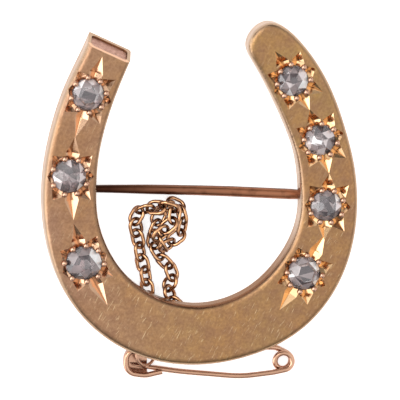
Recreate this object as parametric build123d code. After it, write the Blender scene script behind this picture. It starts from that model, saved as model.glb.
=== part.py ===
from build123d import *
import math
import os
import random

import numpy as np

# A gold horseshoe brooch lying on its back, with its pin, safety chain and safety pin.
# Lengths are millimetres. While the pieces are made, X points right and Y towards the shoe's open end,
# both from the centre of the shoe's round, and Z is the height above the surface that it lies on.
# At the end all pieces move together, so that the origin is the centre of the footprint.

# The shoe's body
OUTER_RADIUS = 16.0
BAND_WIDTH = 6.3
DEPTH = 2.3
BACK_HEIGHT = 1.8
SHOULDER = 0.65
BACK_ROUNDING = 0.3
FRONT_WALL = 0.95
BACK_WALL = 0.4
SIDE_WALL = 0.6

# Its sloped left end with a recessed plate
END_ANGLE = -241.1
END_REACH = 1.185
END_TURN = 64.0
END_SLOPE = 25.6
END_RIM = 0.36
END_RECESS = 0.2
END_RUN = 5.0
END_RUN_TURN = 66.5
END_ROUNDING = 0.45

# Stones and their settings
STONE_DIAMETER = 3.2
CROWN_HEIGHT = 0.85
GIRDLE_HEIGHT = 0.35
GIRDLE_DROP = 0.1
MIDDLE_SIZE = 0.45
MIDDLE_HEIGHT = 0.72
MIDDLE_FALL = 0.2
SEAT_GAP = 0.05
CUT_WIDTH = 1.4
CUT_DEPTH = 0.52
CUT_FOOT = 0.7
CUT_START = 0.72
CUT_WIDEST = 0.3
GRAIN_DIAMETER = 0.6
GRAIN_RISE = 0.14
GRAIN_OUT = 0.2

# The pin's hinge, stem and catch
AXIS_HEIGHT = 0.95
EYE_RADIUS = 0.74
EYE_WIDTH = 1.14
EAR_GAP = 0.08
EAR_WIDTH = 0.55
HINGE_PIN_DIAMETER = 0.7
PIN_RUNNING_GAP = 0.05
PIN_SEAT_GAP = 0.02
HINGE_PIN_PROUD = 0.1
STEM_DIAMETER = 1.07
STEM_BOW = 0.2
STEM_STRAIGHT = 0.34
NECK_RADIUS = 0.42
NECK_END = 3.1
STEM_PAST_CATCH = 1.3
CATCH_RADIUS = 0.6
CATCH_WALL = 0.45
CATCH_WIDTH = 1.6
CATCH_GAP = 0.06

# The safety pin
WIRE_DIAMETER = 0.56
COIL_RADIUS = 0.85
COIL_PITCH = 0.64
COIL_START = 62.0
COIL_END = -80.0
COIL_LEAD = 1.3
COIL_LEAD_BEND = 1.6
ARM_LEAD_BEND = 6.0
ARM_POINT_RADIUS = 0.06
CAP_FLOOR = 0.12
CAP_WALL = 0.3
CAP_MOUTH = -4.75

# The jump ring, the loop on the back and the chain
RING_RADIUS = 1.26
RING_WIRE = 0.32
RING_TILT = 32.0
RING_CENTRE = (-4.97, -14.62, 0.92)
LOOP_RADIUS = 0.62
LOOP_WIRE = 0.36
LINK_LENGTH = 2.26
LINK_WIDTH = 1.75
LINK_WIRE = 0.38
LINK_GAP = 0.1
LINK_PLAY = 0.19
LINK_ROLL = 45.0

# How the chain's links are settled clear of each other
LINE_POINTS = 28
WIRE_POINTS = 200
STEEP = 0.85
ROLL_STEP = 12.0
SETTLE_SEED = 5
SETTLE_ROUNDS = 60
SETTLE_TRIES = 14
SETTLE_MOVE = 0.16
LEAST_MOVE = 0.01
SETTLE_TURN = 0.35
LEAST_TURN = 0.02
SPARE_GAP = 0.035
FLOOR_GAP = 0.02
SHORT_COST = 5.0
SHORT_SQUARE_COST = 100.0
STRAY_COST = 0.02
NOT_LINKED = 50.0
GOOD_ENOUGH = 0.3

# Round the shoe from the right tip: angle, outer edge as a share of OUTER_RADIUS,
# width as a share of BAND_WIDTH
SECTIONS = [
    (60, 1.2625, 0.937),
    (45, 1.158, 0.965),
    (30, 1.071, 0.910),
    (15, 1.029, 0.924),
    (0, 1.011, 0.933),
    (-15, 1.009, 0.978),
    (-30, 1.0125, 1.038),
    (-50, 1.005, 1.048),
    (-70, 0.975, 0.987),
    (-90, 0.964, 0.968),
    (-110, 0.9675, 0.981),
    (-130, 0.971, 0.970),
    (-150, 0.970, 0.943),
    (-165, 0.969, 0.900),
    (-180, 0.981, 0.868),
    (-195, 1.015, 0.871),
    (-210, 1.075, 0.865),
    (-225, 1.178, 0.881),
    (-236, 1.2875, 0.892),
]

# The round tip of the right branch: angle, depth below TIP_REACH as a share of BAND_WIDTH
TIP_REACH = 1.3125
TIP = [
    (69.3, 0.776),
    (73.7, 0.538),
    (73.1, 0.273),
    (69.8, 0.076),
    (64.9, 0.056),
]

# Stones: name, angle round the shoe, place across the band from its inner edge, width and height as
# shares of STONE_DIAMETER, table's size, its shift right and up as shares of the radius, facets' turn
STONES = [
    ("left_top", 131.7, 0.552, 0.97, 0.98, 0.50, -0.05, 0.02, 10),
    ("left_middle", 161.4, 0.529, 1.03, 1.03, 0.30, 0.10, -0.05, 25),
    ("left_low", -159.2, 0.489, 1.13, 1.02, 0.34, -0.02, 0.04, 5),
    ("right_top", 54.6, 0.464, 0.94, 0.96, 0.24, -0.08, 0.12, 0),
    ("right_upper", 30.6, 0.488, 0.94, 0.95, 0.26, -0.20, 0.05, 15),
    ("right_lower", 2.3, 0.440, 0.97, 0.94, 0.36, 0.05, 0.05, 28),
    ("right_low", -30.6, 0.421, 1.00, 1.06, 0.52, 0.05, 0.08, 12),
]

# Cuts round each stone, in the same order: the angle and length of the up ray and of the down ray
LONG_CUTS = [
    (70.0, 4.07, 252.4, 4.48),
    (82.0, 4.05, 274.6, 4.45),
    (104.4, 4.22, 298.1, 4.95),
    (121.9, 3.64, 298.6, 3.45),
    (109.5, 3.40, 284.6, 3.50),
    (85.6, 3.35, 265.8, 3.50),
    (61.8, 4.48, 235.2, 4.46),
]

# Cuts between them: share of the turn from the up ray to the down ray, length left and right of it
SIDE_CUTS = [
    (0.24, 2.78, 3.08),
    (0.505, 2.36, 2.50),
    (0.785, 2.92, 3.24),
]

# Along the stem from the hinge: share of its length, share of STEM_DIAMETER
STEM_SECTIONS = [
    (0.0, 1.0),
    (0.34, 1.0),
    (0.67, 0.90),
    (0.87, 0.71),
    (0.95, 0.50),
    (1.0, 0.10),
]
STEM_STEPS = 20

# Where the hinge, the catch and the chain's loop sit: angle round the shoe, place across the band
HINGE_PLACE = (4.6, 0.42)
CATCH_PLACE = (168.5, 0.38)
LOOP_PLACE = (-97.1, 0.32)

# The safety pin's hook and fixed arm, from the cut end: x, y, height, radius of the bend there
HOOK_ROUTE = [
    (-3.40, -16.50, 1.32, 0.0),
    (-5.10, -16.88, 1.15, 2.4),
    (-7.10, -16.55, 0.97, 1.1),
    (-6.95, -14.15, 0.97, 0.9),
    (-4.80, -14.50, 0.97, 2.0),
    (4.60, -14.55, 0.50, 12.0),
]
COIL_CENTRE = (9.20, -16.02)

# Its pin arm after the coil, to where it tapers, and its point
ARM_ROUTE = [
    (4.80, -17.42, 0.98, 12.0),
    (-1.60, -16.68, 0.72, 30.0),
    (-3.89, -16.27, 0.64, 0.0),
]
ARM_POINT = (-6.45, -15.82, 0.52)

# The chain's route from the loop on the back to the jump ring
CHAIN_ROUTE = [
    (-1.42, -10.76, 1.15),
    (-1.90, -9.75, 0.78),
    (-2.95, -8.09, 0.80),
    (-2.38, -7.08, 0.80),
    (-2.23, -6.10, 0.82),
    (-3.11, -5.19, 0.85),
    (-3.98, -4.28, 0.88),
    (-4.28, -3.13, 0.88),
    (-4.08, -1.96, 0.88),
    (-3.82, -0.79, 0.88),
    (-3.36, 0.37, 0.88),
    (-2.34, 0.85, 0.88),
    (-1.32, 0.15, 0.88),
    (-0.96, -1.04, 0.88),
    (-1.63, -2.09, 0.90),
    (-2.47, -2.96, 1.30),
    (-3.49, -3.51, 2.20),
    (-4.05, -2.40, 2.50),
    (-3.33, -1.46, 2.50),
    (-2.31, -0.98, 2.50),
    (-2.16, 0.19, 2.50),
    (-3.28, 0.74, 2.50),
    (-4.49, 0.56, 2.15),
    (-5.47, 0.17, 1.30),
    (-6.27, -0.65, 0.88),
    (-6.00, -1.75, 0.80),
    (-5.65, -2.85, 0.78),
    (-5.52, -4.14, 0.78),
    (-5.24, -5.54, 0.78),
    (-4.89, -7.09, 0.78),
    (-4.79, -8.75, 0.78),
    (-4.74, -10.60, 0.80),
    (-4.97, -13.20, 0.90),
]

FRONT = BACK_HEIGHT + DEPTH


def polar(angle, radius, z=0.0):
    turn = math.radians(angle)
    return (radius * math.cos(turn), radius * math.sin(turn), z)


def edges_at(angle):
    """Inner and outer radius of the band at an angle, between the rows of SECTIONS."""
    if angle > SECTIONS[0][0]:
        angle -= 360
    for first, second in zip(SECTIONS, SECTIONS[1:]):
        if first[0] >= angle >= second[0]:
            break
    part = (first[0] - angle) / (first[0] - second[0])
    outer = OUTER_RADIUS * (first[1] + (second[1] - first[1]) * part)
    width = BAND_WIDTH * (first[2] + (second[2] - first[2]) * part)
    return outer - width, outer


def on_band(angle, across, z=0.0):
    inner, outer = edges_at(angle)
    return polar(angle, inner + (outer - inner) * across, z)


def run_on(point, length):
    """A point further along the left branch, past its last section."""
    step = polar(END_RUN_TURN, length)
    return (point[0] + step[0], point[1] + step[1], 0)


def shoe_face():
    outer = [polar(angle, OUTER_RADIUS * reach) for angle, reach, _ in SECTIONS]
    inner = [polar(angle, OUTER_RADIUS * reach - BAND_WIDTH * width)
             for angle, reach, width in SECTIONS]
    tip = [polar(angle, OUTER_RADIUS * TIP_REACH - BAND_WIDTH * depth) for angle, depth in TIP]
    outer_end = run_on(outer[-1], END_RUN / 2)
    inner_end = run_on(inner[-1], END_RUN)
    points = [inner_end] + inner[::-1] + tip + outer + [outer_end]
    edge = Spline(*points)
    return make_face([edge, Line(outer_end, inner_end)])


def cavity():
    """The hollow inside, closed by the end plate and short of the round tip."""
    rows = SECTIONS[1:-1]
    outer = [polar(angle, OUTER_RADIUS * reach - SIDE_WALL) for angle, reach, _ in rows]
    inner = [polar(angle, OUTER_RADIUS * reach - BAND_WIDTH * width + SIDE_WALL)
             for angle, reach, width in rows]
    sides = [Spline(*outer), Line(outer[-1], inner[-1]), Spline(*inner[::-1]), Line(inner[0], outer[0])]
    face = Pos(0, 0, BACK_HEIGHT + BACK_WALL) * make_face(sides)
    return extrude(face, DEPTH - FRONT_WALL - BACK_WALL, dir=(0, 0, 1))


def end_plane():
    across = polar(END_TURN - 90, 1)
    level = math.cos(math.radians(END_SLOPE))
    out = polar(END_TURN, level, math.sin(math.radians(END_SLOPE)))
    return Plane(origin=polar(END_ANGLE, OUTER_RADIUS * END_REACH, FRONT), x_dir=across, z_dir=out)


def shoe_body():
    blank = Pos(0, 0, BACK_HEIGHT) * extrude(shoe_face(), DEPTH, dir=(0, 0, 1))
    edges = blank.edges().filter_by(GeomType.BSPLINE).group_by(Axis.Z)
    blank = fillet(edges[-1], SHOULDER)
    edges = blank.edges().filter_by(GeomType.BSPLINE).group_by(Axis.Z)
    blank = fillet(edges[0], BACK_ROUNDING)
    plane = end_plane()
    beyond = Pos(0, 0, END_RUN) * Box(3 * BAND_WIDTH, 3 * BAND_WIDTH, 2 * END_RUN)
    body = blank - plane * beyond
    ends = body.faces().filter_by(lambda face: abs(face.normal_at().dot(plane.z_dir) - 1) < 1e-6)
    box = plane.to_local_coords(ends.sort_by(SortBy.AREA)[-1]).bounding_box()
    middle = box.center()
    recess = RectangleRounded(box.size.X - 2 * END_RIM, box.size.Y - 2 * END_RIM, END_ROUNDING)
    recess = plane * (Pos(middle.X, middle.Y) * extrude(recess, END_RECESS, both=True))
    return body - recess - cavity()


def stone_frame(row):
    return on_band(row[1], row[2])


def stone_radii(row):
    return STONE_DIAMETER * row[3] / 2, STONE_DIAMETER * row[4] / 2


def cuts(index):
    """Angle and length of the eight cuts round a stone."""
    up_angle, up_length, down_angle, down_length = LONG_CUTS[index]
    rays = [(up_angle, up_length), (down_angle, down_length)]
    left_turn = down_angle - up_angle
    for share, left, right in SIDE_CUTS:
        rays.append((up_angle + left_turn * share, left))
        rays.append((up_angle - (360 - left_turn) * share, right))
    return sorted((angle % 360, length) for angle, length in rays)


def rim_radius(row, angle):
    """Distance from a stone's centre to its girdle at an angle."""
    wide, high = stone_radii(row)
    turn = math.radians(angle)
    return wide * high / math.hypot(high * math.cos(turn), wide * math.sin(turn))


def solid_of(faces):
    return Solid(Shell([Face(Wire.make_polygon(points)) for points in faces]))


def groove(start, length):
    """A cutter along X: a V that widens from the stone's rim, then runs out to a point."""
    rise = CUT_DEPTH
    foot = start * CUT_FOOT
    widest = start + (length - start) * CUT_WIDEST
    spread = (CUT_DEPTH + rise) / CUT_DEPTH
    half = CUT_WIDTH / 2
    foot_half = half * (CUT_START + spread - 1)
    reach = widest + (length - widest) * spread
    sides = []
    for side in (1, -1):
        sides.append([(foot, side * foot_half, rise), (widest, side * half * spread, rise)])
    foot_low = (foot, 0, -CUT_DEPTH * CUT_START)
    low = (widest, 0, -CUT_DEPTH)
    tip = (reach, 0, rise)
    (foot_left, left), (foot_right, right) = sides
    return solid_of([(foot_left, foot_low, foot_right), (foot_left, foot_right, right, tip, left),
                     (foot_left, left, low, foot_low), (foot_right, foot_low, low, right),
                     (left, tip, low), (right, low, tip)])


def seat(row):
    wide, high = stone_radii(row)
    hole = Ellipse(wide + SEAT_GAP, high + SEAT_GAP)
    floor = FRONT - GIRDLE_DROP - GIRDLE_HEIGHT - SEAT_GAP
    x, y, _ = stone_frame(row)
    return Pos(x, y, floor) * extrude(hole, FRONT - floor + GRAIN_DIAMETER, dir=(0, 0, 1))


def setting_tools():
    """All the cutters and all the grains of the seven settings."""
    cutters, grains = [], []
    for index, row in enumerate(STONES):
        x, y, _ = stone_frame(row)
        rays = cuts(index)
        for angle, length in rays:
            tool = groove(rim_radius(row, angle), length)
            cutters.append(Location((x, y, FRONT), (0, 0, angle)) * tool)
        for first, second in zip(rays, rays[1:] + [(rays[0][0] + 360, 0)]):
            angle = (first[0] + second[0]) / 2
            out_x, out_y, _ = polar(angle, rim_radius(row, angle) + GRAIN_OUT)
            centre = Pos(x + out_x, y + out_y, FRONT + GRAIN_RISE)
            grains.append(centre * Sphere(GRAIN_DIAMETER / 2))
        cutters.append(seat(row))
    return cutters, grains


def stone(row):
    """A rose-cut dome: table, six main facets, eighteen triangles, a thin girdle and a flat base."""
    table_size, shift_x, shift_y, turn = row[5:]
    wide, high = stone_radii(row)

    def ring(count, size, z, start=0.0, dx=0.0, dy=0.0):
        corners = []
        for step in range(count):
            x, y, _ = polar(start + step * 360 / count, size)
            spin = math.radians(turn)
            px = (x + dx) * math.cos(spin) - (y + dy) * math.sin(spin)
            py = (x + dx) * math.sin(spin) + (y + dy) * math.cos(spin)
            corners.append((px * wide, py * high, z))
        return corners

    middle_size = MIDDLE_SIZE + table_size / 2
    middle_height = CROWN_HEIGHT * (MIDDLE_HEIGHT - MIDDLE_FALL * table_size)
    table = ring(6, table_size, CROWN_HEIGHT, 0, shift_x, shift_y)
    middle = ring(6, middle_size, middle_height, 0, shift_x / 2, shift_y / 2)
    girdle = ring(12, 1.0, 0.0)
    base = ring(12, 1.0, -GIRDLE_HEIGHT)
    faces = [table, base[::-1]]
    for k in range(6):
        after = (k + 1) % 6
        faces.append((table[k], middle[k], middle[after], table[after]))
        before, here, beyond = girdle[2 * k - 1], girdle[2 * k], girdle[2 * k + 1]
        faces.append((middle[k], before, here))
        faces.append((middle[k], here, beyond))
        faces.append((middle[k], beyond, middle[after]))
    for k in range(12):
        after = (k + 1) % 12
        faces.append((girdle[k], base[k], base[after], girdle[after]))
    x, y, _ = stone_frame(row)
    return Pos(x, y, FRONT - GIRDLE_DROP) * solid_of(faces)


def pin_line():
    """The hinge, with X towards the catch, and the distance to the catch."""
    hinge = on_band(*HINGE_PLACE)
    catch = on_band(*CATCH_PLACE)
    turn = math.degrees(math.atan2(catch[1] - hinge[1], catch[0] - hinge[0]))
    distance = math.dist(hinge, catch)
    return Location((hinge[0], hinge[1], AXIS_HEIGHT), (0, 0, turn)), distance


def stem_length():
    return pin_line()[1] + STEM_PAST_CATCH


def stem_radius_at(share):
    for first, second in zip(STEM_SECTIONS, STEM_SECTIONS[1:]):
        if first[0] <= share <= second[0]:
            break
    part = (share - first[0]) / (second[0] - first[0])
    return STEM_DIAMETER / 2 * (first[1] + (second[1] - first[1]) * part)


def stem_bow(share):
    """How far the stem sags sideways: straight at first, then a shallow curve."""
    if share < STEM_STRAIGHT:
        return stem_bow(STEM_STRAIGHT) * share / STEM_STRAIGHT
    return -STEM_BOW * 4 * share * (1 - share)


def across_disc(radius, width, x=0.0):
    """A disc whose axis runs along Y, centred on the pin line."""
    return Pos(x, 0, 0) * Rot(90, 0, 0) * Cylinder(radius, width)


def pin_stem():
    length = stem_length()
    bend = Vector(length * STEM_STRAIGHT, stem_bow(STEM_STRAIGHT), 0)
    start = Plane(origin=(0, 0, 0), x_dir=(0, 0, 1), z_dir=bend)
    root = HINGE_PIN_DIAMETER / 2
    upright = (Align.CENTER, Align.CENTER, Align.MIN)
    neck = Pos(0, 0, root) * Cone(NECK_RADIUS, STEM_DIAMETER / 2, NECK_END - root, align=upright)
    straight = Pos(0, 0, NECK_END) * Cylinder(STEM_DIAMETER / 2, bend.length - NECK_END, align=upright)
    sections = [Plane(origin=bend, x_dir=(0, 0, 1), z_dir=bend) * Circle(STEM_DIAMETER / 2)]
    for step in range(1, STEM_STEPS + 1):
        share = STEM_STRAIGHT + (1 - STEM_STRAIGHT) * step / STEM_STEPS
        place = Plane(origin=(length * share, stem_bow(share), 0), x_dir=(0, 0, 1), z_dir=(1, 0, 0))
        sections.append(place * Circle(stem_radius_at(share)))
    eye = across_disc(EYE_RADIUS, EYE_WIDTH)
    hole = across_disc(HINGE_PIN_DIAMETER / 2 + PIN_RUNNING_GAP, 2 * EYE_WIDTH)
    rod = start * (neck + straight) + loft(sections, ruled=True)
    return pin_line()[0] * (rod + eye - hole)


def ear_span():
    return EYE_WIDTH + 2 * (EAR_GAP + EAR_WIDTH)


def hinge_ears():
    rise = BACK_HEIGHT + BACK_WALL / 2 - AXIS_HEIGHT
    ears = across_disc(AXIS_HEIGHT, ear_span())
    ears += Pos(0, 0, rise / 2) * Box(2 * AXIS_HEIGHT, ear_span(), rise)
    slot = Box(4 * AXIS_HEIGHT, EYE_WIDTH + 2 * EAR_GAP, 2 * BACK_HEIGHT)
    ears -= Pos(0, 0, BACK_HEIGHT - AXIS_HEIGHT) * slot
    ears -= across_disc(HINGE_PIN_DIAMETER / 2 + PIN_SEAT_GAP, 2 * ear_span())
    return pin_line()[0] * ears


def hinge_pin():
    rivet = across_disc(HINGE_PIN_DIAMETER / 2, ear_span() + 2 * HINGE_PIN_PROUD)
    rivet = chamfer(rivet.edges(), HINGE_PIN_PROUD / 2)
    return pin_line()[0] * rivet


def catch():
    """A hook round the stem that leaves the way straight down open."""
    place, distance = pin_line()
    outer = CATCH_RADIUS + CATCH_WALL
    radius = stem_radius_at(distance / stem_length())
    lip = -math.degrees(math.acos((radius + CATCH_GAP) / CATCH_RADIUS))
    far = 3 * outer
    corners = [(0, 0), polar(lip, far)[:2], (far, -far), (far, far), (0, far)]
    kept = make_face(Polyline(*corners, close=True))
    rise = BACK_HEIGHT + BACK_WALL / 2 - AXIS_HEIGHT
    post = Pos(CATCH_WALL / 2, 0) * Rectangle(outer, rise, align=(Align.CENTER, Align.MIN))
    profile = (Circle(outer) - Circle(CATCH_RADIUS)) & kept
    profile = profile + (post - Circle(CATCH_RADIUS))
    face = Plane(origin=(distance, 0, 0), x_dir=(0, 1, 0), z_dir=(1, 0, 0)) * profile
    return place * extrude(face, CATCH_WIDTH / 2, both=True)


def loop_centre():
    x, y, _ = on_band(*LOOP_PLACE)
    return (x, y, BACK_HEIGHT - LOOP_RADIUS / 2)


def chain_loop():
    """The loop on the back, soldered on by its upper half."""
    loop = Pos(*loop_centre()) * Rot(90, 0, 0) * Torus(LOOP_RADIUS, LOOP_WIRE / 2)
    below = Box(4 * OUTER_RADIUS, 4 * OUTER_RADIUS, 4 * LOOP_RADIUS)
    return loop & Pos(0, 0, BACK_HEIGHT + BACK_WALL / 2 - 2 * LOOP_RADIUS) * below


def horseshoe():
    cutters, grains = setting_tools()
    body = shoe_body() - cutters
    body = body + grains
    return body + hinge_ears() + catch() + chain_loop()


def safety_pin_lines():
    """The centre lines of the safety pin's hook and fixed arm, of its coil and of its pin arm."""
    low = WIRE_DIAMETER / 2
    turns = (COIL_START - COIL_END + 360) / 360
    high = low + COIL_PITCH * turns
    cx, cy = COIL_CENTRE
    arrive = Vector(cx, cy, low) + Vector(*polar(COIL_START, COIL_RADIUS))
    leave = Vector(cx, cy, high) + Vector(*polar(COIL_END, COIL_RADIUS))
    before = arrive + Vector(*polar(COIL_START + 90, COIL_LEAD))
    after = leave + Vector(*polar(COIL_END - 90, COIL_LEAD))
    hook_points = [row[:3] for row in HOOK_ROUTE] + [before, arrive]
    bends = [row[3] for row in HOOK_ROUTE[1:]] + [COIL_LEAD_BEND]
    hook_line = FilletPolyline(*hook_points, radius=bends)
    coil_line = Helix(COIL_PITCH, COIL_PITCH * turns, COIL_RADIUS, lefthand=True)
    coil_line = Location((cx, cy, low), (0, 0, COIL_START)) * coil_line
    arm_points = [leave, after] + [row[:3] for row in ARM_ROUTE]
    arm_line = FilletPolyline(*arm_points, radius=[ARM_LEAD_BEND] + [row[3] for row in ARM_ROUTE[:-1]])
    return hook_line, coil_line, arm_line


def hook_cap():
    """The sheet under the hook, closed by a wall along the bend and open towards the pin arm."""
    corners = [(x, y) for x, y, _, _ in HOOK_ROUTE[:5]]
    edge = FilletPolyline(*corners, radius=[row[3] for row in HOOK_ROUTE[1:4]])
    outline = make_face([edge, Line(corners[-1], corners[0])])
    rise = HOOK_ROUTE[2][2]
    cap = extrude(offset(outline, CAP_WALL / 2), rise, dir=(0, 0, 1))
    cap -= Pos(0, 0, CAP_FLOOR) * extrude(offset(outline, -CAP_WALL / 2), rise, dir=(0, 0, 1))
    beyond = Box(OUTER_RADIUS, 4 * OUTER_RADIUS, 4 * rise)
    return cap - Pos(CAP_MOUTH + OUTER_RADIUS / 2, 0, 0) * beyond


def safety_pin():
    lines = safety_pin_lines()
    radius = WIRE_DIAMETER / 2
    section = Circle(radius)
    wires = [sweep(Plane(origin=line @ 0, z_dir=line % 0) * section, path=line) for line in lines]
    joins = [Pos(*(lines[0] @ 1)) * Sphere(radius), Pos(*(lines[2] @ 0)) * Sphere(radius)]
    taper_start = Vector(*ARM_ROUTE[-1][:3])
    taper = Vector(*ARM_POINT) - taper_start
    point = Plane(origin=taper_start, z_dir=taper) * Cone(
        radius, ARM_POINT_RADIUS, taper.length, align=(Align.CENTER, Align.CENTER, Align.MIN))
    joins.append(Pos(*taper_start) * Sphere(radius))
    return wires[0] + wires[1:] + joins + point + hook_cap()


def stem_side():
    """Points on the stem's side that faces the chain: their X, rising, and their Y."""
    place, _ = pin_line()
    length = stem_length()
    points = []
    for step in range(STEM_STEPS + 1):
        share = 1 - step / STEM_STEPS
        side = stem_bow(share) + stem_radius_at(share)
        points.append((place * Pos(length * share, side, 0)).position)
    return [point.X for point in points], [point.Y for point in points]


def smooth_route(route, steps=24):
    """Points close together on a smooth line through a few chosen ones."""
    given = np.array(route)
    given = np.vstack([2 * given[0] - given[1], given, 2 * given[-1] - given[-2]])
    line = []
    for before, first, second, after in zip(given, given[1:], given[2:], given[3:]):
        for step in range(steps):
            t = step / steps
            square = 2 * before - 5 * first + 4 * second - after
            cube = 3 * first - before - 3 * second + after
            line.append((2 * first + (second - before) * t + square * t**2 + cube * t**3) / 2)
    line.append(given[-2])
    return np.array(line)


def even_places(line, pitch):
    run = np.concatenate([[0], np.cumsum(np.linalg.norm(np.diff(line, axis=0), axis=1))])
    marks = np.linspace(0, run[-1], round(run[-1] / pitch) + 1)
    return np.stack([np.interp(marks, run, line[:, axis]) for axis in range(3)], axis=1)


def unit(vector):
    return vector / np.linalg.norm(vector)


def link_line():
    """The centre line of one link, X along it and Y across."""
    radius = (LINK_WIDTH - LINK_WIRE) / 2
    straight = (LINK_LENGTH - LINK_WIDTH) / 2
    turns = np.linspace(0, 2 * math.pi, LINE_POINTS, endpoint=False)
    return radius * np.cos(turns) + np.sign(np.cos(turns)) * straight, radius * np.sin(turns)


def round_line(centre, radius, along, across):
    turns = np.linspace(0, 2 * math.pi, LINE_POINTS, endpoint=False)[:, None]
    reach = np.cos(turns) * np.array(along) + np.sin(turns) * np.array(across)
    return np.array(centre) + radius * reach


def place_line(centre, along, across):
    x, y = link_line()
    return centre + x[:, None] * along + y[:, None] * across


def linked(first, second):
    """Whether one closed line passes through another."""
    a, b = np.roll(first, -1, 0) - first, np.roll(second, -1, 0) - second
    apart = (first + a / 2)[:, None] - (second + b / 2)[None]
    turn = (np.cross(a[:, None], b[None]) * apart).sum(axis=2) / np.linalg.norm(apart, axis=2) ** 3
    return abs(turn.sum() / (4 * math.pi)) > 0.5


def first_places():
    """Even places along the route, each link turned a quarter from the one before."""
    centres = even_places(smooth_route(CHAIN_ROUTE), LINK_LENGTH - 2 * LINK_WIRE - LINK_PLAY)
    places = []
    across = None
    for number, centre in enumerate(centres):
        before, after = centres[max(number - 1, 0)], centres[min(number + 1, len(centres) - 1)]
        along = unit(after - before)
        level = unit(np.cross([0, 0, 1], along))
        rise = np.cross(along, level)
        if across is None:
            across = level + rise
        roll = math.degrees(math.atan2(across @ rise, across @ level))
        if abs(along[2]) < STEEP:
            wanted = round((roll - LINK_ROLL) / 90) * 90 + LINK_ROLL
            roll += max(-ROLL_STEP, min(ROLL_STEP, wanted - roll))
        across = level * math.cos(math.radians(roll)) + rise * math.sin(math.radians(roll))
        side = across if number % 2 == 0 else np.cross(along, across)
        places.append((centre, along, side))
    return places


def least_apart(line, others):
    """The least distance from one line's points to those of each other line."""
    flat = others.reshape(-1, 3)
    squares = (line**2).sum(axis=1)[:, None] + (flat**2).sum(axis=1) - 2 * line @ flat.T
    return np.sqrt(np.maximum(squares.min(axis=0).reshape(len(others), -1).min(axis=1), 0))


def shortage(distance):
    short = max(LINK_WIRE + LINK_GAP + SPARE_GAP - distance, 0)
    return SHORT_COST * short + SHORT_SQUARE_COST * short**2


def fault(number, line, lines, centres, fixed, stem, home):
    """How far a link is from lying clear: too near to something, not linked, too low or too high."""
    centre = line.mean(axis=0)
    total = STRAY_COST * ((centre - home) ** 2).sum()
    near = np.flatnonzero(((centres - centre) ** 2).sum(axis=1) < (LINK_LENGTH + LINK_WIRE) ** 2)
    near = near[near != number]
    for other, distance in zip(near, least_apart(line, lines[near])):
        total += shortage(distance)
        next_to = abs(other - number) == 1
        if (next_to or distance < LINK_WIRE) and linked(line, lines[other]) != next_to:
            total += NOT_LINKED
    for points, radius, middle, reach, partner in fixed:
        if np.abs(middle - centre).max() > reach + LINK_LENGTH:
            continue
        total += shortage(least_apart(line, points[None])[0] + LINK_WIRE / 2 - radius)
        if partner is not None and linked(line, points) != (partner == number):
            total += NOT_LINKED
    clear = LINK_WIRE / 2 + LINK_GAP
    over = clear - LINK_GAP + FLOOR_GAP - line[:, 2].min()
    shoe = edges_at(LOOP_PLACE[0])[0] - clear
    under = line[(line[:, :2] ** 2).sum(axis=1) > shoe**2]
    if len(under):
        over = max(over, under[:, 2].max() + clear - BACK_HEIGHT)
    over = max(over, (line[:, 1] - np.interp(line[:, 0], *stem)).max() + clear)
    return total + NOT_LINKED * max(over, 0)


def turned(vector, axis, angle):
    return (vector * math.cos(angle) + np.cross(axis, vector) * math.sin(angle)
        + axis * (axis @ vector) * (1 - math.cos(angle)))


def obstacles(last):
    """Wires near the chain: points, wire radius, middle, reach and the link that passes through."""
    tilt = math.radians(RING_TILT)
    loop = round_line(loop_centre(), LOOP_RADIUS, (1, 0, 0), (0, 0, 1))
    ring = round_line(RING_CENTRE, RING_RADIUS, (math.cos(tilt), 0, -math.sin(tilt)), (0, 1, 0))
    hook_line, _, arm_line = safety_pin_lines()
    shares = np.linspace(0, 1, WIRE_POINTS)
    wires = [(loop, LOOP_WIRE, 0), (ring, RING_WIRE, last)]
    for line in (hook_line, arm_line):
        points = np.array([tuple(line @ share) for share in shares])
        wires.append((points, WIRE_DIAMETER, None))
    found = []
    for points, wire, partner in wires:
        middle = points.mean(axis=0)
        found.append((points, wire / 2, middle, np.abs(points - middle).max(), partner))
    return found


def settled_links():
    """Nudge the links at random, keeping what helps, until each lies clear and is linked to the next."""
    chance = random.Random(SETTLE_SEED)
    places = first_places()
    homes = [place[0] for place in places]
    centres = np.array(homes)
    lines = np.array([place_line(*place) for place in places])
    fixed = obstacles(len(places) - 1)
    stem = stem_side()
    for round_number in range(SETTLE_ROUNDS):
        left = 1 - round_number / SETTLE_ROUNDS
        worst = 0
        for number, home in enumerate(homes):
            now = fault(number, lines[number], lines, centres, fixed, stem, home)
            worst = max(worst, now)
            if now < GOOD_ENOUGH and round_number > SETTLE_ROUNDS / 10:
                continue
            for _ in range(SETTLE_TRIES):
                centre, along, across = places[number]
                move = np.array([chance.gauss(0, SETTLE_MOVE * left + LEAST_MOVE) for _ in range(3)])
                axis = unit(np.array([chance.gauss(0, 1) for _ in range(3)]))
                angle = chance.gauss(0, SETTLE_TURN * left + LEAST_TURN)
                place = (centre + move, turned(along, axis, angle), turned(across, axis, angle))
                line = place_line(*place)
                new = fault(number, line, lines, centres, fixed, stem, home)
                if new < now:
                    now = new
                    places[number] = place
                    lines[number] = line
                    centres[number] = place[0]
        if worst < GOOD_ENOUGH:
            break
    print("chain:", len(places), "links, worst fault", round(worst, 3), "after round", round_number)
    return places


def link():
    radius = (LINK_WIDTH - LINK_WIRE) / 2
    straight = LINK_LENGTH - LINK_WIDTH
    turn = Torus(radius, LINK_WIRE / 2, major_angle=180, align=None)
    side = Pos(0, radius, 0) * Rot(0, 90, 0) * Cylinder(LINK_WIRE / 2, straight)
    half = Pos(straight / 2, 0, 0) * Rot(0, 0, -90) * turn + side
    return half + Rot(0, 0, 180) * half


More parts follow.
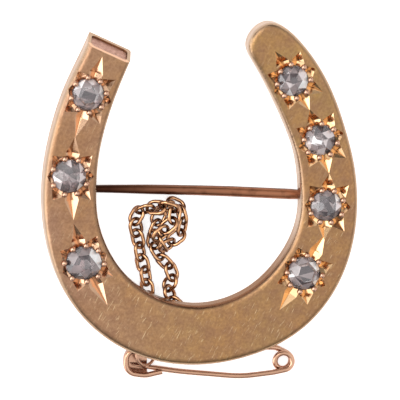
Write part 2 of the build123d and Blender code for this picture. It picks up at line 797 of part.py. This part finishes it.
def safety_chain():
    one = link().solid()
    links = []
    for centre, along, across in settled_links():
        place = Plane(origin=tuple(centre), x_dir=tuple(along), z_dir=tuple(np.cross(along, across)))
        links.append(place.location * one)
    return Compound(links)


def jump_ring():
    return Pos(*RING_CENTRE) * Rot(0, RING_TILT, 0) * Torus(RING_RADIUS, RING_WIRE / 2)


def write(parts):
    """Move everything over the centre of its footprint and write one file for each piece."""
    boxes = [shape.bounding_box() for shape in parts.values()]
    low = [min(tuple(box.min)[axis] for box in boxes) for axis in range(3)]
    high = [max(tuple(box.max)[axis] for box in boxes) for axis in range(3)]
    shift = Pos(-(low[0] + high[0]) / 2, -(low[1] + high[1]) / 2, -low[2])
    os.makedirs("parts", exist_ok=True)
    for name, shape in parts.items():
        export_step(shift * shape, f"parts/{name}.step")
    print("moved by", shift.position, "from", low, "to", high)


if __name__ == "__main__":
    pieces = {"horseshoe": horseshoe()}
    for row in STONES:
        pieces["diamond_" + row[0]] = stone(row)
    pieces["pin_stem"] = pin_stem()
    pieces["hinge_pin"] = hinge_pin()
    pieces["safety_pin"] = safety_pin()
    pieces["jump_ring"] = jump_ring()
    pieces["safety_chain"] = safety_chain()
    write(pieces)
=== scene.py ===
import bpy
import math
from mathutils import Matrix, Vector


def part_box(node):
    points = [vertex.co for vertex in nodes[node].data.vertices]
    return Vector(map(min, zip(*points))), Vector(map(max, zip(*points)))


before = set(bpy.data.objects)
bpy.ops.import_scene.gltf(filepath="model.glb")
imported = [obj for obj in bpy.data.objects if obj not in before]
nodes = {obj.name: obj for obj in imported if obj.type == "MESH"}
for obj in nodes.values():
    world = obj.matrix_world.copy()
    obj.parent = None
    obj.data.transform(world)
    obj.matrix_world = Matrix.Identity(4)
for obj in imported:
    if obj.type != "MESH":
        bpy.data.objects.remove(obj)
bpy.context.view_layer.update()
MM = 0.001

# The camera: what it looks at, x and y of the unit vector towards it, and how wide and how far it sees
LOOK_AT = Vector((-0.2012, 0.7825, 4.1)) * MM
TOWARDS_CAMERA = (-0.172, 0.193)
CAMERA_DISTANCE = 500 * MM
VIEW_WIDTH = 40 * MM
SENSOR_WIDTH = 36.0
CLIP_START = 0.01
CLIP_END = 10.0

# The studio: azimuth and elevation of each window, full and fading angle from its middle, strength
WINDOWS = [
    (90, 90, 30, 62, 0.80),
    (188, 8, 18, 40, 2.8),
    (118, 24, 16, 34, 0.9),
    (150, 50, 10, 24, 3.0),
    (5, 20, 24, 66, 0.6),
]
WORLD_LEVEL = 0.11

# The floor: its two pale greys, its glow, and how far it reaches from the middle in metres
FLOOR_GREYS = [(0.90, 0.90, 0.90), (0.92, 0.92, 0.92)]
FLOOR_GLOW = 0.62
FLOOR_REACH = 2.0

# The finishes of the horseshoe's faces, in the order of its materials
SATIN, CUT, PLATE, FOIL, GRAIN, PINK_CUT = range(6)

# The horseshoe in millimetres: the levels of its front and of the stones' seats, how far below the seats
# and out from a stone's middle its setting may lie, and how far the seat's border reaches past the stone
FRONT_LEVEL = 4.1
SEAT_LEVEL = 3.6
SETTING_BELOW = 0.3
SETTING_REACH = 5.2
BORDER = 0.4

# The horseshoe's sloped left end: a point on its rim, the way that it faces in degrees, the least cosine
# between that way and its plate's, and how far the plate at least lies behind the rim
END_POINT = Vector((-9.364, 15.781, 4.1))
END_AZIMUTH = 64.0
END_ELEVATION = 25.6
END_COSINE = 0.999
END_RECESS = 0.1

# The horseshoe's front, from the left over the middle to the right and at its right tip
LEFT_GOLD = (0.488, 0.277, 0.173)
MIDDLE_GOLD = (0.492, 0.296, 0.125)
RIGHT_GOLD = (0.414, 0.236, 0.104)
TIP_GOLD = (0.465, 0.295, 0.106)

# What lies over its front: wide warm patches, brown mottling, brushing, dark specks and scratches
WARM_PATCH = (0.496, 0.256, 0.100)
BROWN_MOTTLE = (0.305, 0.160, 0.102)
BRUSHED_GOLD = (0.760, 0.478, 0.252)
DARK_SPECK = (0.250, 0.126, 0.069)
SCRATCHED_GOLD = (0.950, 0.760, 0.470)

# Its walls, its shoulders, their stains, the shade painted on the inner wall low in the bend, and the
# tint of its reflections
WALL_GOLD = (0.530, 0.445, 0.395)
SHOULDER_GOLD = (0.415, 0.280, 0.180)
SIDE_STAIN = (0.330, 0.225, 0.165)
INNER_WALL_SHADE = (0.19, 0.09, 0.05)
REFLECTION_TINT = (0.85, 0.72, 0.62, 1)

# The stem's gold: at its point, its middle and the hinge, the shade painted underneath, tarnished, and
# the shade painted in its corners
STEM_POINT = (0.052, 0.017, 0.009)
STEM_MIDDLE = (0.28, 0.117, 0.065)
STEM_HINGE = (0.40, 0.168, 0.09)
STEM_UNDERSIDE_SHADE = (0.066, 0.025, 0.014)
STEM_TARNISH = (0.077, 0.028, 0.014)
STEM_CORNER_SHADE = (0.05, 0.018, 0.006)

# The end plate: its darker and brighter metal and the shade painted in its corners
PLATE_DARK = (0.437, 0.237, 0.181)
PLATE_BRIGHT = (0.650, 0.405, 0.320)
PLATE_CORNER_SHADE = (0.062, 0.025, 0.012)

# The foil under the stones: its darker and brighter patches
FOIL_DARK = (0.25, 0.198, 0.20)
FOIL_BRIGHT = (0.47, 0.388, 0.388)

# The tones of the stones' facets: colour, roughness, transmission, metallic
# Dark is a painted dark reflection; light, white and pale are painted bright reflections; soft is a
# painted grey that sets facets off from the clear ones
TONES = {
    "clear": ((1.0, 0.88, 0.88), 0.02, 0.90, 0.0),
    "soft": ((0.53, 0.44, 0.44), 0.03, 0.45, 0.0),
    "dark": ((0.24, 0.20, 0.215), 0.04, 0.70, 0.0),
    "light": ((1.0, 0.89, 0.885), 0.16, 0.20, 0.25),
    "white": ((1.0, 0.98, 0.99), 0.28, 0.0, 0.35),
    "pale": ((1.0, 0.99, 0.99), 0.30, 0.0, 0.35),
}
STONE_IOR = 2.0
CLOUD_SHADE = 0.86

# A polished gold's drifting tint, and the light in its tight corners and on its open surfaces, which sets
# the shade painted into corners
DRIFT_SHADE = 0.75
CORNER_LIGHT = 0.3
OPEN_LIGHT = 0.8

# How softly a scratch's edge fades
STROKE_EDGE = 0.05

# For each stone, the facets that stand out as painted reflections and painted dark facets: their
# direction from its middle in degrees, the least and the most of their distance as shares of its radius,
# and their tone
STONES = {
    "left_top": [(150, 0.0, 0.6, "dark"), (125, 0.7, 1.0, "white"), (15, 0.7, 1.0, "pale"),
                 (-60, 0.7, 1.0, "light"), (70, 0.6, 1.0, "light")],
    "left_middle": [(-45, 0.6, 1.0, "pale"), (35, 0.6, 1.0, "light"), (90, 0.6, 1.0, "light"),
                    (-150, 0.75, 1.0, "light"), (0, 0.6, 0.8, "light"), (100, 0.15, 0.6, "dark")],
    "left_low": [(35, 0.6, 1.0, "pale"), (5, 0.75, 1.0, "pale"), (140, 0.15, 0.6, "dark"),
                 (80, 0.15, 0.6, "dark"), (180, 0.6, 1.0, "dark"), (-45, 0.15, 0.6, "dark")],
    "right_top": [(100, 0.0, 0.6, "dark"), (-130, 0.15, 0.6, "light"), (-15, 0.6, 1.0, "pale"),
                  (15, 0.6, 1.0, "pale"), (-110, 0.6, 1.0, "white"), (150, 0.6, 1.0, "dark"),
                  (50, 0.6, 1.0, "light")],
    "right_upper": [(180, 0.15, 0.6, "white"), (-160, 0.6, 1.0, "light"), (100, 0.6, 1.0, "dark"),
                    (-20, 0.15, 0.6, "light"), (-80, 0.6, 1.0, "light"), (40, 0.6, 1.0, "light")],
    "right_lower": [(-90, 0.0, 0.6, "dark"), (150, 0.15, 0.6, "dark"), (90, 0.15, 0.6, "dark"),
                    (-30, 0.15, 0.6, "dark"), (40, 0.6, 1.0, "pale"), (10, 0.6, 1.0, "light")],
    "right_low": [(180, 0.6, 1.0, "white"), (35, 0.75, 1.0, "pale"), (-35, 0.6, 1.0, "pale"),
                  (80, 0.15, 0.6, "dark"), (-100, 0.15, 0.6, "dark")],
}

# How STONES is read: out to which share of the radius a facet is the stone's table or a main facet, how
# far in degrees a main facet and one of the rim may lie from the direction that is asked for, and by how
# many degrees all other facets change between clear and soft
TABLE_SHARE = 0.15
MAIN_SHARE = 0.6
MAIN_ROOM = 31
RIM_ROOM = 17
TONE_STEP = 30


def feed(socket, value):
    """Link an input to an output, or give it a value."""
    if isinstance(value, bpy.types.NodeSocket):
        socket.id_data.links.new(value, socket)
    else:
        socket.default_value = value


def add(tree, kind, settings=None, **inputs):
    """A new shader node, with its settings and the values or links of its inputs by name."""
    node = tree.nodes.new(kind)
    for name, value in (settings or {}).items():
        setattr(node, name, value)
    for name, value in inputs.items():
        feed(node.inputs[name.replace("_", " ")], value)
    return node


def new_material(name):
    """A material, its empty node tree and the shader that it shows."""
    material = bpy.data.materials.new(name)
    material.use_nodes = True
    tree = material.node_tree
    tree.nodes.clear()
    shader = add(tree, "ShaderNodeBsdfPrincipled")
    output = add(tree, "ShaderNodeOutputMaterial")
    tree.links.new(shader.outputs["BSDF"], output.inputs["Surface"])
    return material, tree, shader


def math_node(tree, operation, first, second):
    node = add(tree, "ShaderNodeMath", {"operation": operation})
    feed(node.inputs[0], first)
    feed(node.inputs[1], second)
    return node.outputs[0]


def blend(tree, share, first, second):
    """Mix two colours, each an output or three numbers."""
    mix = add(tree, "ShaderNodeMix", {"data_type": "RGBA"})
    sockets = [socket for socket in mix.inputs if socket.enabled]
    for socket, value in zip(sockets, (share, first, second)):
        feed(socket, (*value, 1) if isinstance(value, tuple) else value)
    return [socket for socket in mix.outputs if socket.enabled][0]


def tint(tree, base, mask, share, colour):
    """Lay a colour over a base by a mask, at most to a share."""
    return blend(tree, math_node(tree, "MULTIPLY", mask, share), base, colour)


def remap(tree, value, low, high, to_low=0.0, to_high=1.0, smooth=False):
    """Carry the range from low to high over to another one."""
    node = add(tree, "ShaderNodeMapRange", Value=value, From_Min=low, From_Max=high,
               To_Min=to_low, To_Max=to_high)
    if smooth:
        node.interpolation_type = "SMOOTHSTEP"
    return node.outputs["Result"]


def millimetres(tree, stretch=(1, 1, 1), turn=0.0):
    """The place on the object in millimetres, turned about Z and stretched."""
    place = add(tree, "ShaderNodeTexCoord")
    mapping = add(tree, "ShaderNodeMapping", {"vector_type": "TEXTURE"}, Vector=place.outputs["Object"])
    mapping.inputs["Rotation"].default_value = (0, 0, math.radians(turn))
    mapping.inputs["Scale"].default_value = [MM / axis for axis in stretch]
    return mapping.outputs["Vector"]


def axis_of(tree, output, axis):
    """One axis of the place or the normal on the object."""
    place = add(tree, "ShaderNodeTexCoord")
    axes = add(tree, "ShaderNodeSeparateXYZ", Vector=place.outputs[output])
    return axes.outputs[axis]


def noise(tree, vector, scale, detail=2.0, roughness=0.5):
    node = add(tree, "ShaderNodeTexNoise", Vector=vector, Scale=scale, Detail=detail, Roughness=roughness)
    return node.outputs["Fac"]


def strokes(tree, turn, length, width, rarity):
    """Rare straight scratches in one direction, from 0 to 1."""
    lines = noise(tree, millimetres(tree, (1 / length, 1 / width, 1), turn), 1.0, 1.0)
    return remap(tree, lines, rarity, rarity + STROKE_EDGE)


def facing_up(tree, low, high):
    """From 0 where the object's surface faces sideways to 1 where it faces up."""
    return remap(tree, axis_of(tree, "Normal", "Z"), low, high, smooth=True)


def corner_shade(tree, reach):
    """Painted shade in corners: from 0 on open surfaces to 1 in tight corners, looked for within a reach
    in millimetres.
    """
    node = add(tree, "ShaderNodeAmbientOcclusion", {"samples": 8}, Distance=reach * MM)
    return remap(tree, node.outputs["AO"], CORNER_LIGHT, OPEN_LIGHT, 1.0, 0.0)


def bump(tree, shader, heights):
    """Stack bumps, each a height and its depth in millimetres."""
    normal = None
    for height, depth in heights:
        node = add(tree, "ShaderNodeBump", Height=height, Distance=depth * MM, Strength=1.0)
        if normal is not None:
            tree.links.new(normal, node.inputs["Normal"])
        normal = node.outputs["Normal"]
    tree.links.new(normal, shader.inputs["Normal"])


def metal(shader, base, roughness):
    """Make a shader a metal with a linked colour and a roughness that is a link or a number."""
    shader.inputs["Metallic"].default_value = 1.0
    feed(shader.inputs["Base Color"], base)
    feed(shader.inputs["Roughness"], roughness)


def front_gold(tree, across, along):
    """The front's gold, pinker on the left, darker on the right and yellower at the right tip."""
    front = blend(tree, remap(tree, across, -13 * MM, 0.0), LEFT_GOLD, MIDDLE_GOLD)
    front = blend(tree, remap(tree, across, 0.0, 12 * MM), front, RIGHT_GOLD)
    rightward = remap(tree, across, 0.0, 6 * MM)
    upper = remap(tree, along, 4 * MM, 15 * MM)
    tip = math_node(tree, "MULTIPLY", rightward, upper)
    return blend(tree, tip, front, TIP_GOLD)


def side_gold(tree, along, mottle):
    """The gold of walls and shoulders, stained, with shade painted on the inner wall low in the bend."""
    side = blend(tree, facing_up(tree, 0.0, 0.6), WALL_GOLD, SHOULDER_GOLD)
    side = tint(tree, side, mottle, 0.4, SIDE_STAIN)
    # Painted shade on the inner wall low in the bend, where it faces the opening
    low = remap(tree, along, 4 * MM, 0.0)
    inward = remap(tree, axis_of(tree, "Normal", "Y"), 0.2, 0.7)
    return blend(tree, math_node(tree, "MULTIPLY", low, inward), side, INNER_WALL_SHADE)


def shoe_scratches(tree, along):
    """Scratches in two directions, faint on the branches and strong low in the bend."""
    first = strokes(tree, 63, 1.5, 0.10, 0.69)
    second = strokes(tree, 50, 1.2, 0.09, 0.71)
    wear_and_highlight = remap(tree, along, 0.0, -6 * MM, 0.35, 1.0)
    return math_node(tree, "MULTIPLY", math_node(tree, "MAXIMUM", first, second), wear_and_highlight)


def shoe_gold():
    """The horseshoe's satin front with mottling, brushing and scratches, and its smoother sides."""
    material, tree, shader = new_material("shoe_gold")
    place = millimetres(tree)
    across = axis_of(tree, "Object", "X")
    along = axis_of(tree, "Object", "Y")
    drift = remap(tree, noise(tree, place, 0.22, 3.0), 0.38, 0.62)
    mottle = remap(tree, noise(tree, place, 0.75, 4.0, 0.6), 0.34, 0.66)
    speckle = remap(tree, noise(tree, place, 3.6, 3.0, 0.6), 0.36, 0.64)
    brushed = millimetres(tree, (0.55, 4.5, 1), 62)
    brushing = remap(tree, noise(tree, brushed, 1.0, 3.0, 0.6), 0.36, 0.64)
    scratches = shoe_scratches(tree, along)
    front = front_gold(tree, across, along)
    front = tint(tree, front, drift, 0.6, WARM_PATCH)
    front = tint(tree, front, mottle, 0.6, BROWN_MOTTLE)
    front = tint(tree, front, brushing, 0.11, BRUSHED_GOLD)
    front = tint(tree, front, speckle, 0.42, DARK_SPECK)
    front = tint(tree, front, scratches, 0.6, SCRATCHED_GOLD)
    upward = facing_up(tree, 0.60, 0.985)
    rough = remap(tree, upward, 0.0, 1.0, 0.24, 0.40)
    rough = math_node(tree, "SUBTRACT", rough, math_node(tree, "MULTIPLY", scratches, 0.15))
    metal(shader, blend(tree, upward, side_gold(tree, along, mottle), front), rough)
    shader.inputs["Specular Tint"].default_value = REFLECTION_TINT
    bump(tree, shader, [(mottle, 0.02), (brushing, 0.004), (speckle, 0.005), (scratches, 0.004)])
    return material


def polished(name, top, side, roughness, corner_shade_colour, reach, grain=0.003, wear_and_highlight=(0.15, 0.8)):
    """Polished gold, lighter where it faces up as a painted highlight, darker on its sides as painted
    shade, and with shade painted in its corners.
    """
    material, tree, shader = new_material(name)
    place = millimetres(tree)
    drift = remap(tree, noise(tree, place, 0.7, 3.0), 0.35, 0.65)
    fine = noise(tree, place, 9.0, 4.0)
    bright = tint(tree, top, drift, 0.4, tuple(channel * DRIFT_SHADE for channel in top))
    # Painted highlight where it faces up, painted shade on its sides
    base = blend(tree, facing_up(tree, *wear_and_highlight), side, bright)
    # Painted shade in its corners
    base = blend(tree, corner_shade(tree, reach), base, corner_shade_colour)
    metal(shader, base, remap(tree, fine, 0.3, 0.7, roughness * 0.8, roughness * 1.25))
    bump(tree, shader, [(fine, grain)])
    return material


def end_plate():
    """The rough plate in the horseshoe's left end, with shade painted round its rim."""
    material, tree, shader = new_material("end_plate")
    coarse = remap(tree, noise(tree, millimetres(tree), 3.0, 5.0, 0.7), 0.35, 0.65)
    base = blend(tree, coarse, PLATE_DARK, PLATE_BRIGHT)
    # Painted shade round the rim, in the plate's corners
    base = blend(tree, corner_shade(tree, 0.4), base, PLATE_CORNER_SHADE)
    metal(shader, base, 0.5)
    bump(tree, shader, [(coarse, 0.05)])
    return material


def foil():
    """The bright seat under each stone, seen through it."""
    material, tree, shader = new_material("foil")
    patches = remap(tree, noise(tree, millimetres(tree), 1.9, 3.0, 0.6), 0.36, 0.64)
    metal(shader, blend(tree, patches, FOIL_DARK, FOIL_BRIGHT), 0.16)
    bump(tree, shader, [(patches, 0.02)])
    return material


def diamond(tone):
    """A stone's facet: a dark one is a painted dark reflection that lets little through, and the light,
    white and pale ones are painted bright reflections.
    """
    colour, roughness, transmission, metallic = TONES[tone]
    material, tree, shader = new_material("diamond_" + tone)
    cloud = remap(tree, noise(tree, millimetres(tree), 1.6, 4.0, 0.6), 0.4, 0.7)
    shade = tuple(channel * CLOUD_SHADE for channel in colour)
    feed(shader.inputs["Base Color"], blend(tree, cloud, colour, shade))
    shader.inputs["Roughness"].default_value = roughness
    shader.inputs["IOR"].default_value = STONE_IOR
    shader.inputs["Transmission Weight"].default_value = transmission
    shader.inputs["Metallic"].default_value = metallic
    return material


def dark_gold():
    """The stem's gold, near black at its point and lighter towards the hinge, with tarnished patches and
    with shade painted underneath and in its corners.
    """
    material, tree, shader = new_material("dark_gold")
    across = axis_of(tree, "Object", "X")
    fine = noise(tree, millimetres(tree, (0.6, 6.0, 6.0)), 1.0, 4.0)
    tarnish = remap(tree, noise(tree, millimetres(tree), 1.2, 4.0), 0.5, 0.7, 0.0, 0.5)
    base = blend(tree, remap(tree, across, -9 * MM, -2 * MM), STEM_POINT, STEM_MIDDLE)
    base = blend(tree, remap(tree, across, -2 * MM, 6 * MM), base, STEM_HINGE)
    # Painted shade underneath
    base = blend(tree, facing_up(tree, 0.1, 0.75), STEM_UNDERSIDE_SHADE, base)
    base = blend(tree, tarnish, base, STEM_TARNISH)
    # Painted shade in its corners
    base = blend(tree, corner_shade(tree, 0.4), base, STEM_CORNER_SHADE)
    metal(shader, base, remap(tree, fine, 0.3, 0.7, 0.28, 0.40))
    bump(tree, shader, [(fine, 0.006)])
    return material


def wear(data, finishes):
    """Give a mesh its materials."""
    data.materials.clear()
    for finish in finishes:
        data.materials.append(finish)


def direction(azimuth, elevation):
    """The unit vector at an azimuth and an elevation in degrees."""
    turn, rise = math.radians(azimuth), math.radians(elevation)
    return Vector((math.cos(turn) * math.cos(rise), math.sin(turn) * math.cos(rise), math.sin(rise)))


def stone_place(name):
    """A stone's middle and radius in metres."""
    low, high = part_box("diamond_" + name)
    return (low + high) / 2, (high - low).x / 2


def shoe_finish(face, stones, outward):
    """Which finish a face of the horseshoe has, by where it lies and the way that it faces."""
    middle = face.center / MM
    up = face.normal.z
    if face.normal.dot(outward) > END_COSINE and (middle - END_POINT).dot(outward) < -END_RECESS:
        return PLATE
    distance, radius = min(((centre - middle).xy.length, size) for centre, size in stones)
    if middle.z <= SEAT_LEVEL - SETTING_BELOW or distance >= SETTING_REACH:
        return SATIN
    on_seat = middle.z < SEAT_LEVEL + 0.02 and up > 0.9 and distance < radius
    above_front = middle.z > FRONT_LEVEL + 0.005
    in_border = distance < radius + BORDER and up < 0.98
    in_cut = not face.use_smooth and 0.3 < up < 0.95
    if on_seat:
        return FOIL
    if above_front:
        return GRAIN
    if in_border or in_cut:
        return PINK_CUT if middle.x < 0 else CUT
    return SATIN


def dress_horseshoe():
    """Give each face of the horseshoe its finish."""
    # Each polished gold: its top colour is a painted highlight, its side colour painted shade, and its
    # corner colour painted shade
    cut = polished("cut_gold", top=(0.95, 0.61, 0.33), side=(0.62, 0.36, 0.20), roughness=0.15,
                   corner_shade_colour=(0.07, 0.028, 0.015), reach=0.34, grain=0.0015)
    pink_cut = polished("pink_cut_gold", top=(0.84, 0.53, 0.34), side=(0.48, 0.26, 0.16), roughness=0.17,
                        corner_shade_colour=(0.06, 0.024, 0.014), reach=0.40)
    grain = polished("grain_gold", top=(0.74, 0.44, 0.30), side=(0.30, 0.145, 0.085), roughness=0.20,
                     corner_shade_colour=(0.045, 0.016, 0.008), reach=0.45)
    data = nodes["horseshoe"].data
    wear(data, [shoe_gold(), cut, end_plate(), foil(), grain, pink_cut])
    places = [stone_place(name) for name in STONES]
    stones = [(centre / MM, radius / MM) for centre, radius in places]
    outward = direction(END_AZIMUTH, END_ELEVATION)
    for face in data.polygons:
        face.material_index = shoe_finish(face, stones, outward)


def facet_tone(across, radius, facets, tones):
    """Which tone a facet has, by how its middle lies across from the stone's."""
    share = across.length / radius
    facing = math.degrees(math.atan2(across.y, across.x))
    room = MAIN_ROOM if share < MAIN_SHARE else RIM_ROOM
    kind = round(facing / TONE_STEP) % 2
    for wanted, least, most, tone in facets:
        apart = abs((facing - wanted + 180) % 360 - 180)
        if least <= share < most and (apart < room or share < TABLE_SHARE):
            kind = tones.index(tone)
    return kind


def dress_stones():
    """Give each stone's facets their tones: clear and soft in turn, but painted bright and dark
    reflections for those that stand out.
    """
    tones = list(TONES)
    finishes = [diamond(tone) for tone in tones]
    for name, facets in STONES.items():
        data = nodes["diamond_" + name].data
        wear(data, finishes)
        middle, radius = stone_place(name)
        for face in data.polygons:
            face.use_smooth = False
            # The tones paint the facets' bright and dark reflections
            face.material_index = facet_tone((face.center - middle).xy, radius, facets, tones)


def dress_small_parts():
    """Give the chain, its ring, the safety pin, the stem and the rivet their golds."""
    # Each polished gold: its top colour is a painted highlight, its side colour painted shade, and its
    # corner colour painted shade
    rose = polished("rose_gold", top=(0.68, 0.395, 0.265), side=(0.42, 0.215, 0.14), roughness=0.20,
                    corner_shade_colour=(0.12, 0.045, 0.022), reach=0.22)
    links = polished("chain_gold", top=(0.85, 0.46, 0.235), side=(0.19, 0.070, 0.028), roughness=0.15,
                     corner_shade_colour=(0.04, 0.013, 0.006), reach=0.5, wear_and_highlight=(0.52, 1.0))
    dark = dark_gold()
    wear(nodes["safety_chain"].data, [links])
    wear(nodes["jump_ring"].data, [rose])
    wear(nodes["safety_pin"].data, [rose])
    wear(nodes["pin_stem"].data, [dark])
    wear(nodes["hinge_pin"].data, [dark])


def floor():
    """A plain pale floor with a glow of its own, which makes it as white as the photograph's ground."""
    material, tree, shader = new_material("floor")
    grain = remap(tree, noise(tree, millimetres(tree), 0.4), 0.3, 0.7)
    feed(shader.inputs["Base Color"], blend(tree, grain, *FLOOR_GREYS))
    shader.inputs["Roughness"].default_value = 0.9
    shader.inputs["Specular IOR Level"].default_value = 0.1
    shader.inputs["Emission Color"].default_value = (1, 1, 1, 1)
    shader.inputs["Emission Strength"].default_value = FLOOR_GLOW
    data = bpy.data.meshes.new("floor")
    reach = FLOOR_REACH
    corners = [(-reach, -reach, 0), (reach, -reach, 0), (reach, reach, 0), (-reach, reach, 0)]
    data.from_pydata(corners, [], [(0, 1, 2, 3)])
    data.materials.append(material)
    piece = bpy.data.objects.new("floor", data)
    bpy.context.scene.collection.objects.link(piece)


def studio():
    """A dim room with soft bright windows, each a round patch of the world with a fading edge."""
    world = bpy.data.worlds.new("studio")
    bpy.context.scene.world = world
    world.use_nodes = True
    tree = world.node_tree
    background = tree.nodes["Background"]
    background.inputs["Color"].default_value = (1, 1, 1, 1)
    place = add(tree, "ShaderNodeTexCoord")
    total = WORLD_LEVEL
    for azimuth, elevation, full, fading, strength in WINDOWS:
        near = add(tree, "ShaderNodeVectorMath", {"operation": "DOT_PRODUCT"})
        tree.links.new(place.outputs["Generated"], near.inputs[0])
        near.inputs[1].default_value = direction(azimuth, elevation)
        dark_edge = math.cos(math.radians(fading))
        bright_edge = math.cos(math.radians(full))
        glow = remap(tree, near.outputs["Value"], dark_edge, bright_edge, 0.0, strength, smooth=True)
        total = math_node(tree, "ADD", glow, total)
    tree.links.new(total, background.inputs["Strength"])


def camera():
    """Look down on the front, a little from the left and from above the open end."""
    data = bpy.data.cameras.new("camera")
    data.sensor_width = SENSOR_WIDTH
    data.lens = SENSOR_WIDTH * CAMERA_DISTANCE / VIEW_WIDTH
    data.clip_start = CLIP_START
    data.clip_end = CLIP_END
    x, y = TOWARDS_CAMERA
    back = Vector((x, y, math.sqrt(1 - x * x - y * y)))
    right = Vector((0, 1, 0)).cross(back).normalized()
    up = back.cross(right)
    turn = Matrix((right, up, back)).transposed().to_4x4()
    piece = bpy.data.objects.new("camera", data)
    piece.matrix_world = Matrix.Translation(LOOK_AT + back * CAMERA_DISTANCE) @ turn
    bpy.context.scene.collection.objects.link(piece)
    bpy.context.scene.camera = piece


camera()
dress_horseshoe()
dress_small_parts()
dress_stones()
floor()
studio()
bpy.context.scene.view_settings.view_transform = "Standard"
